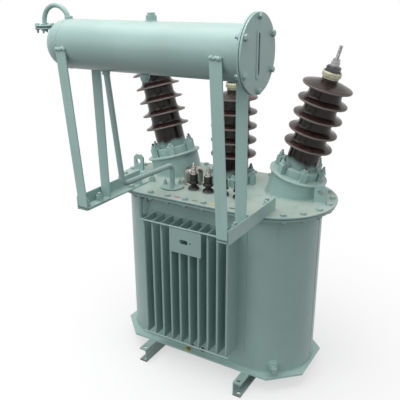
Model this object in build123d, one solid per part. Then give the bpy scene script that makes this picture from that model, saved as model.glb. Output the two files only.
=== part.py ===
# Pole-mounted oil transformer, millimetres, +Z up.
# X runs along the tank, the low-voltage side and the conservator face -Y.
# The origin is on the ground, at the centre of the four skid bolt holes.
import math
import os

from build123d import *

os.makedirs("parts", exist_ok=True)

# Skids: two rolled channels across the tank
skid_gauge_x = 475.0
skid_gauge_y = 550.0
skid_height = 65.0
skid_flange = 36.0
skid_web = 4.5
skid_flange_thick = 7.0
skid_overhang = 20.0
skid_hole_d = 18.0
skid_hole_inset = 18.0

# Base plate: a rectangle with cut corners
base_length = 900.0
base_width = 436.0
base_cut_x = 116.0
base_cut_y = 111.0
base_thick = 8.0

# Tank: straight flanks with half-round ends
tank_radius = 195.0
tank_flank = 490.0
tank_wall_thick = 3.0
tank_height = 715.0
rim_width = 51.0
rim_thick = 8.0
gasket_thick = 4.0
gasket_inset = 4.0
gasket_width = 42.0
cover_overhang = 57.0
cover_thick = 8.0
cover_edge = 2.5

# Cooling fins on both flanks
fin_count = 10
fin_pitch = 43.6
fin_panel_offset = -16.0
fin_bottom = 161.0
fin_top = 703.0
fin_depth = 92.0
fin_thick = 10.0
fin_sheet = 1.5
fin_pinch = 3.2
fin_pinch_length = 42.0
fin_pinch_seam = 12.0
fin_margin = 39.0
panel_sheet = 3.0
window_margin_x = 22.0
window_margin_z = 28.0
tie_bar_d = 7.0
tie_bar_overhang = 13.0
tie_bar_inset = 4.0

# Blank plate bracket on the fin noses
bracket_width = 146.0
bracket_height = 105.0
bracket_thick = 3.0
bracket_centre_x = -7.0
bracket_top = 695.0
bracket_slot_length = 39.0
bracket_slot_height = 19.0
bracket_slot_x = -8.0
bracket_slot_drop = 53.0
bracket_hole_d = 8.0
bracket_hole_x = 23.0

# Lifting lugs on the cover
lug_x = 438.0
lug_width = 51.0
lug_height = 74.0
lug_thick = 10.0
lug_chamfer = 13.0
lug_hole_d = 24.0
lug_hole_rise = 43.0

# Round bar lifting hooks under the tank rim
hook_bar_d = 18.0
hook_x = 272.0
hook_reach = 32.0
hook_length = 92.0
hook_drop = 34.0
hook_bend = 24.0
gusset_width = 7.0
gusset_reach = 22.0
gusset_height = 34.0
gusset_shift = 22.0

# Drain valve low on the right-hand end
drain_angle = -60.0
drain_rise = 42.0
drain_d = 43.0
drain_length = 24.0
drain_neck_d = 32.0
drain_neck_length = 12.0
drain_plug_size = 22.0
drain_plug_length = 10.0

# Earthing bolt on the base plate
earth_x = -53.0
earth_inset = 11.0
earth_flats = 18.0
earth_head = 9.0

# Angle-section arms that carry the conservator
arm_left_x = -344.0
arm_right_x = 314.0
arm_leg = 50.0
arm_thick = 5.0
arm_root = 3.0
arm_outer_y = -522.0
arm_inner_y = -152.0

# Bent flat straps between the arms and the conservator
strap_width = 42.0
strap_thick = 5.0
strap_rear_y = -386.0
strap_bend = 9.0
strap_top_over = 3.0

# Conservator: a horizontal drum
drum_y = -485.0
drum_z = 1409.0
drum_radius = 84.0
drum_wall = 4.0
drum_left = -338.0
drum_right = 372.5
dish_depth = 86.0
dish_skirt = 10.0
drum_flange_radius = 117.5
drum_flange_thick = 6.0
drum_gasket_thick = 2.5
drum_gasket_radius = 113.0
end_cover_thick = 5.5
gauge_height = 121.0
gauge_width = 10.0
gauge_glass_thick = 4.0
gauge_frame_width = 32.0
gauge_frame_height = 142.0
gauge_frame_proud = 1.5

# Filler cap and drain stub on the drum
filler_x = 3.5
filler_d = 35.0
filler_rise = 17.0
filler_cap_d = 25.0
filler_cap_rise = 9.0
stub_x = -30.0
stub_d = 32.0
stub_end_d = 20.0
stub_length = 27.0

# Breather pipe over the drum's left end
pipe_d = 17.0
breather_collar_x = -345.0
breather_collar_d = 28.0
breather_collar_rise = 9.0
breather_drop_x = -472.0
breather_apex_z = 1537.0
breather_bend = 34.0
breather_flange_d = 62.0
breather_flange_thick = 6.5
breather_flange_z = 1466.0
breather_gasket_thick = 2.5

# Oil pipe from the drum to the cover
oil_pipe_d = 21.3
oil_foot_x = -170.0
oil_foot_y = -127.0
oil_foot_d = 100.0
oil_foot_thick = 6.0
oil_gasket_d = 96.0
oil_gasket_thick = 1.5
oil_rise = 84.0
oil_low_x = -188.0
oil_low_y = -408.0
oil_low_z = 898.0
oil_collar_d = 28.0
oil_collar_length = 10.0
oil_sink = 8.0
oil_bend = 26.0

# High-voltage bushings: one upright, two leaning out on turrets
hv_row_y = 77.0
hv_left_x = -271.0
hv_middle_x = 13.0
hv_right_x = 290.0
hv_lean = 15.0
turret_radius = 101.0
turret_wall = 4.0
turret_length = 89.0
turret_plate_radius = 115.0
turret_plate_thick = 9.0
hv_core_radius = 65.0
hv_bore_radius = 16.0
hv_shed_radius = 97.5
hv_shed_count = 5
hv_first_shed = 125.6
hv_shed_pitch = 60.2
hv_shed_rise = 19.0
hv_shed_edge = 8.0
hv_top_radius = 34.0
hv_top = 391.0
hv_neck = 8.0
hv_neck_radius = 31.0
foot_ring_radius = 79.0
foot_ring_height = 27.0
foot_ring_round = 7.0
claw_count = 4
claw_angle = 35.0
claw_inner = 67.0
claw_outer = 104.0
claw_width = 30.0
claw_height = 45.0
claw_heel = 15.0
claw_nose = 15.0
hv_seal_radius = 37.0
hv_seal_height = 27.0
hv_hex_flats = 50.0
hv_hex_height = 20.0
hv_nut_flats = 30.0
hv_nut_height = 30.0
hv_rod_d = 14.0
hv_rod_height = 48.0

# Low-voltage bushings in a row
lv_count = 4
lv_pitch = 70.0
lv_first_x = -74.0
lv_row_y = -110.0
lv_stud_d = 10.0
lv_stud_height = 14.0
lv_nut_flats = 17.0
lv_nut_height = 32.0

# Tap-changer dome
tap_x = -124.0
tap_y = -28.0
tap_flange_radius = 43.0
tap_flange_thick = 4.0
tap_radius = 37.5
tap_height = 63.0
tap_round = 23.0
tap_skin = 2.0

# Heights and centres that follow from the sizes above
skid_length = skid_gauge_y + 2 * skid_overhang
base_z = skid_height
tank_z = base_z + base_thick
rim_z = tank_z + tank_height - rim_thick
gasket_z = tank_z + tank_height
cover_z = gasket_z + gasket_thick
cover_top = cover_z + cover_thick
arc_x = tank_flank / 2
claw_mid = (claw_inner + claw_outer) / 2


def save(shape, node):
    """Write one named piece."""
    if isinstance(shape, (list, ShapeList)):
        shape = Compound(children=list(shape))
    export_step(shape, f"parts/{node}.step")


def cylinder(radius, height, at=(0, 0, 0)):
    """A round bar that stands on a point."""
    return Pos(*at) * extrude(Circle(radius), height)


def hexagon(flats, height, at=(0, 0, 0)):
    """A hexagon bar that stands on a point."""
    return Pos(*at) * extrude(RegularPolygon(flats / 2, 6, major_radius=False), height)


def block(x0, x1, y0, y1, z0, z1):
    """A box between two corners."""
    return Pos(x0, y0, z0) * Box(x1 - x0, y1 - y0, z1 - z0, align=(Align.MIN, Align.MIN, Align.MIN))


def obround(radius, z, height):
    """A plate with straight flanks and half-round ends."""
    return Pos(0, 0, z) * extrude(SlotCenterToCenter(tank_flank, 2 * radius), height)


def turned(points, at=(0, 0, 0)):
    """A body turned about a vertical axis from (radius, height) points."""
    face = Plane.XZ * make_face(Polyline(*points, close=True))
    return Pos(*at) * revolve(face, Axis.Z)


def drum(radius, x0, x1):
    """A bar along the conservator's axis."""
    return Pos(x0, drum_y, drum_z) * Rot(0, 90, 0) * extrude(Circle(radius), x1 - x0)


def skid(side):
    """A channel along Y, web toward the middle, with holes in both flanges."""
    web_x = skid_gauge_x / 2 - skid_hole_inset
    tip_x = web_x + skid_flange
    half = skid_length / 2
    body = block(web_x, tip_x, -half, half, 0, skid_height)
    pocket = block(web_x + skid_web, tip_x + 1, -half - 1, half + 1,
                   skid_flange_thick, skid_height - skid_flange_thick)
    inner = pocket.edges().filter_by(Axis.Y).group_by(Axis.X)[0]
    body -= fillet(inner, skid_flange_thick * 0.8)
    for y in (-skid_gauge_y / 2, skid_gauge_y / 2):
        body -= cylinder(skid_hole_d / 2, skid_height + 2, (skid_gauge_x / 2, y, -1))
    return body if side > 0 else mirror(body, Plane.YZ)


def base_plate():
    """The octagonal plate under the tank."""
    a, b = base_length / 2, base_width / 2
    outline = Polyline((a - base_cut_x, -b), (a, -b + base_cut_y), (a, b - base_cut_y), (a - base_cut_x, b),
                       (-a + base_cut_x, b), (-a, b - base_cut_y), (-a, -b + base_cut_y), (-a + base_cut_x, -b),
                       close=True)
    return Pos(0, 0, base_z) * extrude(make_face(outline), base_thick)


def tank_wall():
    """The oval shell, open behind each fin panel."""
    shell = obround(tank_radius, tank_z, tank_height)
    shell -= obround(tank_radius - tank_wall_thick, tank_z, tank_height)
    half = fin_span() / 2 + window_margin_x
    shell -= block(fin_panel_offset - half, fin_panel_offset + half, -2 * tank_radius, 2 * tank_radius,
                   fin_bottom + window_margin_z, fin_top - window_margin_z)
    return shell


def ring_plate(outer, inner, z, height):
    """A flat ring that follows the tank's outline."""
    return obround(outer, z, height) - obround(inner, z, height)


def tank_cover():
    """The flat cover with rounded edges."""
    plate = obround(tank_radius + cover_overhang, cover_z, cover_thick)
    rims = plate.edges().filter_by(Axis.Z, reverse=True)
    return fillet(rims, cover_edge)


def fin_span():
    """Distance between the first and the last fin."""
    return (fin_count - 1) * fin_pitch


def fin_x(i):
    """Centre of one fin."""
    return fin_panel_offset - fin_span() / 2 + i * fin_pitch


def fin_body(half, pinch, seam, depth, overlap):
    """One fin on the flank: pinched flat at both ends, with a round nose."""
    z0, z1 = fin_bottom, fin_top
    side = Polyline((-pinch, z0), (-pinch, z0 + seam), (-half, z0 + fin_pinch_length),
                    (-half, z1 - fin_pinch_length), (-pinch, z1 - seam), (-pinch, z1),
                    (pinch, z1), (pinch, z1 - seam), (half, z1 - fin_pinch_length),
                    (half, z0 + fin_pinch_length), (pinch, z0 + seam), (pinch, z0), close=True)
    slab = extrude(Plane.XZ * make_face(side), depth + overlap)
    slab = Pos(0, -tank_radius + overlap, 0) * slab
    nose = Pos(0, -tank_radius - depth + half, 0) * extrude(Circle(half), z1)
    nose += block(-half, half, -tank_radius - depth + half, -tank_radius + overlap, 0, z1)
    return slab & nose


def tie_bars():
    """Round bars across the fin noses at the top and the bottom."""
    length = fin_span() + 2 * tie_bar_overhang
    bars = []
    for side in (-1, 1):
        for z in (fin_bottom + tie_bar_inset, fin_top - tie_bar_inset):
            y = side * (tank_radius + fin_depth)
            bar = Pos(fin_panel_offset - length / 2, y, z) * Rot(0, 90, 0) * extrude(Circle(tie_bar_d / 2), length)
            bars.append(bar)
    return bars


def fin_panel():
    """The front panel: a slotted sheet with hollow fins."""
    half = fin_span() / 2 + fin_margin
    sheet = block(fin_panel_offset - half, fin_panel_offset + half,
                  -tank_radius - panel_sheet, -tank_radius, fin_bottom, fin_top)
    fin = fin_body(fin_thick / 2, fin_pinch / 2, fin_pinch_seam, fin_depth, 0)
    inner_half = fin_thick / 2 - fin_sheet
    hollow = fin_body(inner_half, 0.4, fin_pinch_seam + 3, fin_depth - fin_sheet, 1)
    hollow &= block(-fin_thick, fin_thick, -2 * tank_radius, 0, fin_bottom + fin_pinch_seam, fin_top - fin_pinch_seam)
    for i in range(fin_count):
        sheet += Pos(fin_x(i), 0, 0) * fin
    for i in range(fin_count):
        sheet -= Pos(fin_x(i), 0, 0) * hollow
    for bar in tie_bars()[:2]:
        sheet -= bar
    return sheet


def bracket():
    """The blank plate on the fin noses, with an oblong hole and a round one."""
    y = -tank_radius - fin_depth
    x0 = bracket_centre_x - bracket_width / 2
    plate = block(x0, x0 + bracket_width, y - bracket_thick, y,
                  bracket_top - bracket_height, bracket_top)
    plate -= tie_bars()[1]
    plate = fillet(plate.edges().filter_by(Axis.Y), 4)
    z = bracket_top - bracket_slot_drop
    slot = extrude(Plane.XZ * SlotOverall(bracket_slot_length, bracket_slot_height), 4 * bracket_thick)
    plate -= Pos(bracket_centre_x + bracket_slot_x, y + bracket_thick, z) * slot
    hole = extrude(Plane.XZ * Circle(bracket_hole_d / 2), 4 * bracket_thick)
    plate -= Pos(bracket_centre_x + bracket_hole_x, y + bracket_thick, z) * hole
    return plate


def lug(x):
    """A lifting eye plate with cut top corners."""
    body = block(x - lug_width / 2, x + lug_width / 2, -lug_thick / 2, lug_thick / 2,
                 cover_top, cover_top + lug_height)
    corners = body.edges().filter_by(Axis.Y).group_by(Axis.Z)[-1]
    body = chamfer(corners, lug_chamfer)
    hole = Pos(x, lug_thick, cover_top + lug_hole_rise) * extrude(Plane.XZ * Circle(lug_hole_d / 2), 2 * lug_thick)
    return body - hole


def tank_hooks():
    """Bent round bars on opposite corners of the tank, each with a gusset beside it."""
    top = rim_z - hook_drop + hook_bar_d
    path = FilletPolyline((0, 0, top), (0, -hook_reach, top), (0, -hook_reach, top - hook_length),
                          (0, 0, top - hook_length), radius=hook_bend)
    start = Plane(origin=(0, 0, top), z_dir=(0, -1, 0))
    bar = sweep(start * Circle(hook_bar_d / 2), path)
    wall_y = -math.sqrt(tank_radius ** 2 - (hook_x - arc_x) ** 2)
    hook = Pos(-hook_x, wall_y + hook_bar_d / 4, 0) * bar
    gusset = block(-hook_x + gusset_shift, -hook_x + gusset_shift + gusset_width,
                   -tank_radius - gusset_reach, -tank_radius + 5, rim_z - gusset_height, rim_z)
    solid = obround(tank_radius, 0, cover_top)
    pair = [hook - solid, gusset - solid]
    return pair + [Rot(0, 0, 180) * piece for piece in pair]


def drain_valve():
    """A stepped stub with a square plug, pointing outward."""
    place = Pos(arc_x, 0, tank_z + drain_rise) * Rot(0, 0, drain_angle) * Rot(0, 90, 0)
    body = extrude(Circle(drain_d / 2), tank_radius + drain_length)
    neck_z = tank_radius + drain_length
    body += cylinder(drain_neck_d / 2, drain_neck_length, (0, 0, neck_z))
    plug_z = neck_z + drain_neck_length
    body += Pos(0, 0, plug_z) * extrude(Rectangle(drain_plug_size, drain_plug_size), drain_plug_length)
    return place * body - obround(tank_radius, 0, cover_top)


def earth_bolt():
    """A hexagon head on the base plate's front edge."""
    return hexagon(earth_flats, earth_head, (earth_x, -base_width / 2 + earth_inset, tank_z))


def arm(outer_x, inward):
    """An angle along Y: web outside, foot flange on the cover."""
    web = block(0, arm_thick, arm_outer_y, arm_inner_y, cover_top, cover_top + arm_leg)
    foot = block(0, arm_leg, arm_outer_y, arm_inner_y, cover_top, cover_top + arm_thick)
    body = web + foot
    root = body.edges().filter_by(Axis.Y).filter_by_position(Axis.X, arm_thick - 0.1, arm_thick + 0.1)
    root = root.filter_by_position(Axis.Z, cover_top + arm_thick - 0.1, cover_top + arm_thick + 0.1)
    body = fillet(root, arm_root)
    if inward < 0:
        body = mirror(body, Plane.YZ)
    return Pos(outer_x, 0, 0) * body


def tangent_point(y, z, radius, side):
    """Where a line from (y, z) touches the drum's circle on one side."""
    dy, dz = drum_y - y, drum_z - z
    away = math.hypot(dy, dz)
    turn = math.asin(radius / away)
    aim = math.atan2(dz, dy) + side * turn
    reach = math.sqrt(away ** 2 - radius ** 2)
    return y + reach * math.cos(aim), z + reach * math.sin(aim), aim


def strap(outer_x, inward):
    """A flat bar bent to a U: both limbs touch the drum, the foot lies on the arm."""
    z = cover_top + arm_thick + strap_thick / 2
    reach = drum_radius + strap_thick / 2
    front_y = arm_outer_y + strap_thick / 2
    fy, fz, fa = tangent_point(front_y, z, reach, 1)
    ry, rz, ra = tangent_point(strap_rear_y, z, reach, -1)
    front = (0, fy + strap_top_over * math.cos(fa), fz + strap_top_over * math.sin(fa))
    rear = (0, ry + strap_top_over * math.cos(ra), rz + strap_top_over * math.sin(ra))
    path = FilletPolyline(front, (0, front_y, z), (0, strap_rear_y, z), rear, radius=strap_bend)
    start = Plane(origin=front, x_dir=(1, 0, 0), z_dir=(0, -math.cos(fa), -math.sin(fa)))
    body = sweep(start * Rectangle(strap_width, strap_thick), path)
    centre = arm_thick + arm_root + strap_width / 2
    return Pos(outer_x + inward * centre, 0, 0) * body


def conservator_shell():
    """The drum's tube."""
    return drum(drum_radius, drum_left, drum_right) - drum(drum_radius - drum_wall, drum_left, drum_right)


def dish_form(radius, depth):
    """A short skirt and half an ellipsoid at the drum's left end, filled."""
    arc = EllipticalCenterArc((0, 0), radius, depth - dish_skirt, start_angle=0, arc_size=90)
    face = make_face([arc, Line((0, depth - dish_skirt), (0, 0)), Line((0, 0), (radius, 0))])
    crown = Pos(0, 0, dish_skirt) * revolve(Plane.XZ * face, Axis.Z)
    return Pos(drum_left, drum_y, drum_z) * Rot(0, -90, 0) * (crown + cylinder(radius, dish_skirt))


def conservator_dish():
    """The dished left end, hollow."""
    return dish_form(drum_radius, dish_depth) - dish_form(drum_radius - drum_wall, dish_depth - drum_wall)


def conservator_flange():
    """The flange ring round the drum's right end."""
    x0 = drum_right - drum_flange_thick
    return drum(drum_flange_radius, x0, drum_right) - drum(drum_radius, x0, drum_right)


def conservator_gasket():
    """The ring gasket behind the end cover."""
    x1 = drum_right + drum_gasket_thick
    bore = drum_radius - drum_wall
    return drum(drum_gasket_radius, drum_right, x1) - drum(bore, drum_right, x1)


def upright_slot(width, height, x0, depth):
    """An upright oblong on the end cover."""
    shape = Rot(0, 0, 90) * SlotOverall(height, width)
    return Pos(x0, drum_y, drum_z) * extrude(Plane.YZ * shape, depth)


def conservator_cover():
    """The round end cover with a raised frame round the gauge slot."""
    x0 = drum_right + drum_gasket_thick
    plate = drum(drum_flange_radius, x0, x0 + end_cover_thick)
    frame = RectangleRounded(gauge_frame_width, gauge_frame_height, 8)
    plate += Pos(x0 + end_cover_thick, drum_y, drum_z) * extrude(Plane.YZ * frame, gauge_frame_proud)
    return plate - upright_slot(gauge_width, gauge_height, x0 - 1, end_cover_thick + gauge_frame_proud + 2)


def gauge_glass():
    """The glass strip in the slot."""
    x0 = drum_right + drum_gasket_thick
    return upright_slot(gauge_width, gauge_height, x0, gauge_glass_thick)


def filler_cap():
    """A screw cap on its neck, on top of the drum."""
    top = drum_z + drum_radius
    neck = cylinder(filler_d / 2, filler_rise + 10, (filler_x, drum_y, top - 10))
    cap = cylinder(filler_cap_d / 2, filler_cap_rise, (filler_x, drum_y, top + filler_rise))
    return neck + fillet(cap.edges().group_by(Axis.Z)[-1], 2) - drum(drum_radius, filler_x - 50, filler_x + 50)


def drum_stub():
    """A tapered drain boss under the drum."""
    bottom = drum_z - drum_radius
    upper = stub_length * 0.45
    body = turned([(0, 15), (stub_d / 2, 15), (stub_d / 2, -upper), (stub_end_d / 2, -stub_length),
                   (0, -stub_length)], (stub_x, drum_y, bottom))
    return body - drum(drum_radius, stub_x - 50, stub_x + 50)


def breather_pipe():
    """A collar, an arched pipe and the upper flange."""
    top = drum_z + drum_radius
    flange_z = breather_flange_z + breather_gasket_thick / 2
    path = FilletPolyline((breather_collar_x, drum_y, top - 12), (breather_collar_x, drum_y, breather_apex_z),
                          (breather_drop_x, drum_y, breather_apex_z), (breather_drop_x, drum_y, flange_z),
                          radius=breather_bend)
    start = Plane(origin=(breather_collar_x, drum_y, top - 12), z_dir=(0, 0, 1))
    body = sweep(start * Circle(pipe_d / 2), path)
    body += cylinder(breather_collar_d / 2, breather_collar_rise + 12, (breather_collar_x, drum_y, top - 12))
    body += cylinder(breather_flange_d / 2, breather_flange_thick, (breather_drop_x, drum_y, flange_z))
    return body - drum(drum_radius, drum_left, drum_left + 100) - dish_form(drum_radius, dish_depth)


def breather_gasket():
    """The gasket between the breather flanges."""
    z = breather_flange_z - breather_gasket_thick / 2
    return cylinder(breather_flange_d / 2 - 1.5, breather_gasket_thick, (breather_drop_x, drum_y, z))


def breather_blank():
    """The lower breather flange with its short spigot."""
    z = breather_flange_z - breather_gasket_thick / 2 - breather_flange_thick
    disc = cylinder(breather_flange_d / 2, breather_flange_thick, (breather_drop_x, drum_y, z))
    return disc + cylinder(pipe_d / 2, 8, (breather_drop_x, drum_y, z - 8))


def oil_pipe():
    """The pipe from the drum's underside to its round foot on the cover."""
    foot_z = cover_top + oil_gasket_thick
    low = Vector(oil_low_x, oil_low_y, oil_low_z)
    high = Vector(oil_low_x, drum_y, drum_z - drum_radius + oil_sink)
    points = [(oil_foot_x, oil_foot_y, foot_z), (oil_foot_x, oil_foot_y, cover_top + oil_rise), low, high]
    path = FilletPolyline(*points, radius=oil_bend)
    start = Plane(origin=points[0], z_dir=(0, 0, 1))
    body = sweep(start * Circle(oil_pipe_d / 2), path)
    body += cylinder(oil_foot_d / 2, oil_foot_thick, (oil_foot_x, oil_foot_y, foot_z))
    collar = Plane(origin=high, z_dir=low - high) * Circle(oil_collar_d / 2)
    body += extrude(collar, oil_collar_length + oil_sink)
    return body - drum(drum_radius, oil_low_x - 50, oil_low_x + 50)


def leaning(x, lean):
    """Place on the cover at a bushing's centre, with its axis leaning in X."""
    return Pos(x, hv_row_y, cover_top) * Rot(0, lean, 0)


def hv_places():
    """Name, place and seat height of each high-voltage bushing."""
    return [("left", leaning(hv_left_x, -hv_lean), turret_length),
            ("middle", leaning(hv_middle_x, 0), 0.0),
            ("right", leaning(hv_right_x, hv_lean), turret_length)]


def turret(place):
    """A leaning tube cut off level with the cover."""
    start = -turret_radius
    length = turret_length - turret_plate_thick - start
    tube = Pos(0, 0, start) * (extrude(Circle(turret_radius), length)
                               - extrude(Circle(turret_radius - turret_wall), length))
    below = block(-1000, 1000, -500, 500, cover_top - 500, cover_top)
    return place * tube - below


def turret_plate(place):
    """The round plate on a turret, bored for the bushing's tail."""
    z = turret_length - turret_plate_thick
    plate = cylinder(turret_plate_radius, turret_plate_thick, (0, 0, z))
    plate = fillet(plate.edges(), 2)
    return place * (plate - cylinder(hv_core_radius - 12, 2 * turret_plate_thick, (0, 0, z - 2)))


def hv_porcelain():
    """The insulator: a round core with thin drooping sheds and a domed head."""
    edge = hv_shed_edge / 2
    outline = [(hv_bore_radius, 0), (hv_core_radius, 0)]
    for i in range(hv_shed_count):
        z = hv_first_shed + i * hv_shed_pitch
        outline += [(hv_core_radius, z - edge + 1), (hv_shed_radius - edge, z - edge),
                    (hv_shed_radius - 0.8, z - edge * 0.45), (hv_shed_radius, z + edge * 0.3),
                    (hv_shed_radius - edge, z + edge), (hv_core_radius + 9, z + hv_shed_rise * 0.62)]
        if i < hv_shed_count - 1:
            outline += [(hv_core_radius + 2.5, z + hv_shed_rise * 0.85), (hv_core_radius, z + hv_shed_rise * 1.25)]
    last = hv_first_shed + (hv_shed_count - 1) * hv_shed_pitch
    outline += [(hv_core_radius - 8, last + hv_shed_rise * 0.9), (hv_top_radius + 4, hv_top - 2),
                (hv_neck_radius, hv_top), (hv_neck_radius, hv_top + hv_neck), (hv_bore_radius, hv_top + hv_neck)]
    return turned(outline)


def foot_ring():
    """The stepped ring round the insulator's foot."""
    r = foot_ring_radius
    ring = cylinder(r, foot_ring_height) - cylinder(hv_core_radius, foot_ring_height)
    rim = ring.edges().group_by(Axis.Z)[-1].sort_by(SortBy.LENGTH)[-1]
    return fillet(rim, foot_ring_round)


def claw(angle):
    """A clamp claw: its heel stands on the plate and its nose holds the foot ring."""
    top = claw_height
    side = Polyline((claw_outer - claw_heel, 0), (claw_outer, 0), (claw_outer, top - 10),
                    (claw_outer - 8, top), (claw_inner + 6, top), (claw_inner, top - 6),
                    (claw_inner, foot_ring_height), (claw_inner + claw_nose - 2, foot_ring_height),
                    (claw_outer - claw_heel, foot_ring_height - 6), close=True)
    body = Pos(0, claw_width / 2, 0) * extrude(Plane.XZ * make_face(side), claw_width)
    body -= cylinder(foot_ring_radius, foot_ring_height)
    body -= cylinder(hv_core_radius + 0.3, claw_height + 1)
    return Rot(0, 0, angle) * body


def hv_terminal():
    """Hexagon cap, clamp nuts and threaded rod."""
    z = hv_top + hv_neck + hv_seal_height
    body = hexagon(hv_hex_flats, hv_hex_height, (0, 0, z))
    z += hv_hex_height
    body += hexagon(hv_nut_flats, hv_nut_height, (0, 0, z))
    z += hv_nut_height
    return body + cylinder(hv_rod_d / 2, hv_rod_height, (0, 0, z))


def hv_seal():
    """The stepped sealing ring under the hexagon cap."""
    z = hv_top + hv_neck
    r = hv_seal_radius
    return turned([(0, z), (r - 5, z), (r - 5, z + 7), (r, z + 9), (r, z + hv_seal_height - 6),
                   (r - 3, z + hv_seal_height), (0, z + hv_seal_height)])


def lv_porcelain():
    """A small insulator: bell foot, waist, one shed and a straight head."""
    return turned([(0, 0), (24.5, 0), (24.5, 7), (21, 13), (13, 18), (12, 22), (14, 26), (22, 29),
                   (22.5, 34), (19, 38), (17, 42), (18, 46), (18, 68), (16, 70), (0, 70)])


def lv_terminal():
    """Stacked nuts and a stud."""
    body = hexagon(lv_nut_flats, lv_nut_height, (0, 0, 70))
    return body + cylinder(lv_stud_d / 2, lv_stud_height, (0, 0, 70 + lv_nut_height))


def spun_cap(radius, height, round_edge):
    """A round cap with a well-rounded shoulder."""
    cap = cylinder(radius, height)
    return fillet(cap.edges().group_by(Axis.Z)[-1], round_edge)


def tap_dome():
    """A spun cap with a flat rim, over the tap switch."""
    bore = tap_radius - tap_skin
    body = spun_cap(tap_radius, tap_height, tap_round)
    body += cylinder(tap_flange_radius, tap_flange_thick)
    body -= spun_cap(bore, tap_height - tap_skin, tap_round - tap_skin)
    return Pos(tap_x, tap_y, cover_top) * body


def main():
    save(skid(-1), "skid_left")
    save(skid(1), "skid_right")
    save(base_plate(), "base_plate")
    save(tank_wall(), "tank_wall")
    save(ring_plate(tank_radius + rim_width, tank_radius, rim_z, rim_thick), "tank_rim")
    outer = tank_radius + rim_width - gasket_inset
    save(ring_plate(outer, outer - gasket_width, gasket_z, gasket_thick), "cover_gasket")
    save(tank_cover(), "tank_cover")
    panel = fin_panel()
    save(panel, "fin_panel_front")
    save(mirror(panel, Plane.XZ), "fin_panel_rear")
    save(tie_bars(), "fin_tie_bars")
    save(bracket(), "blank_bracket")
    save([lug(-lug_x), lug(lug_x)], "lifting_lugs")
    save(tank_hooks(), "tank_hooks")
    save(drain_valve(), "drain_valve")
    save(earth_bolt(), "earth_bolt")
    save(arm(arm_left_x, 1), "arm_left")
    save(arm(arm_right_x, -1), "arm_right")
    save(strap(arm_left_x, 1), "strap_left")
    save(strap(arm_right_x, -1), "strap_right")
    save(conservator_shell(), "conservator_shell")
    save(conservator_dish(), "conservator_dish")
    save(conservator_flange(), "conservator_flange")
    save(conservator_gasket(), "conservator_gasket")
    save(conservator_cover(), "conservator_cover")
    save(gauge_glass(), "gauge_glass")
    save(filler_cap(), "filler_cap")
    save(drum_stub(), "conservator_stub")
    save(breather_pipe(), "breather_pipe")
    save(breather_gasket(), "breather_gasket")
    save(breather_blank(), "breather_flange")
    save(oil_pipe(), "oil_pipe")
    gasket_at = (oil_foot_x, oil_foot_y, cover_top)
    save(cylinder(oil_gasket_d / 2, oil_gasket_thick, gasket_at), "oil_pipe_gasket")
    rings, claws, seals, terminals = [], [], [], []
    porcelain, ring, seal, terminal = hv_porcelain(), foot_ring(), hv_seal(), hv_terminal()
    for name, place, seat in hv_places():
        if seat > 0:
            save(turret(place), f"turret_{name}")
            save(turret_plate(place), f"turret_plate_{name}")
        on = place * Pos(0, 0, seat)
        save(on * porcelain, f"hv_porcelain_{name}")
        rings.append(on * ring)
        claws += [on * claw(claw_angle + i * 360 / claw_count) for i in range(claw_count)]
        seals.append(on * seal)
        terminals.append(on * terminal)
    save(rings, "hv_foot_rings")
    save(claws, "hv_clamps")
    save(seals, "hv_seals")
    save(terminals, "hv_terminals")
    row = [Pos(lv_first_x + i * lv_pitch, lv_row_y, cover_top) for i in range(lv_count)]
    save([at * lv_porcelain() for at in row], "lv_porcelains")
    save([at * lv_terminal() for at in row], "lv_terminals")
    save(tap_dome(), "tap_dome")


main()
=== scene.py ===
import math

import bpy
import numpy as np
from bpy.props import FloatProperty, FloatVectorProperty, IntProperty, PointerProperty
from mathutils import Matrix, Vector


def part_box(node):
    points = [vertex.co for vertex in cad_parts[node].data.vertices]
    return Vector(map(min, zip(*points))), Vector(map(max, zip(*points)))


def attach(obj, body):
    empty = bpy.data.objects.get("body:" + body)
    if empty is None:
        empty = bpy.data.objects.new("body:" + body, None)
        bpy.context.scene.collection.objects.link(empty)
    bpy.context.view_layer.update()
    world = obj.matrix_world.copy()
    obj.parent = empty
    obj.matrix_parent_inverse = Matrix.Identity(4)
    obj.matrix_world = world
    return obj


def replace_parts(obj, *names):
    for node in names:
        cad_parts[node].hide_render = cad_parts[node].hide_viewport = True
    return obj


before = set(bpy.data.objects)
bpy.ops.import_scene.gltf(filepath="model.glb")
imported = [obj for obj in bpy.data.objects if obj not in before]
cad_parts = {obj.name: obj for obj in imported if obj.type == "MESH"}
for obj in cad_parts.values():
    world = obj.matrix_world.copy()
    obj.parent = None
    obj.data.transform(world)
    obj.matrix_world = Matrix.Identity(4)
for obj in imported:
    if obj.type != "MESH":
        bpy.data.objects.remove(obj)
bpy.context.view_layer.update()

bl_info = {
    "name": "Pole Mounted Transformer",
    "version": (1, 0, 0),
    "blender": (4, 5, 0),
    "location": "3D View > Sidebar > Transformer",
    "description": "Finishes, bushings, fasteners and weld beads for a pole mounted transformer",
    "category": "Object",
}

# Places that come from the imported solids, in metres
COVER_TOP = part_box("tank_cover")[1].z
COVER_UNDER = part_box("tank_rim")[0].z
BASE_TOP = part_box("base_plate")[1].z
TANK_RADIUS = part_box("tank_wall")[1].y
TANK_ARC_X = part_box("tank_wall")[1].x - TANK_RADIUS
DRUM_Y = (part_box("conservator_shell")[0].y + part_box("conservator_shell")[1].y) / 2
DRUM_Z = (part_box("conservator_shell")[0].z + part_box("conservator_shell")[1].z) / 2
DRUM_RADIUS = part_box("conservator_shell")[1].y - DRUM_Y
DRUM_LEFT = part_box("conservator_shell")[0].x
FLANGE_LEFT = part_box("conservator_flange")[0].x
END_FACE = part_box("conservator_cover")[1].x - 0.0015
ARM_TOP = COVER_TOP + 0.005
DRUM_TOP = DRUM_Z + DRUM_RADIUS
LUG_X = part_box("lifting_lugs")[1].x - 0.0255

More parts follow.
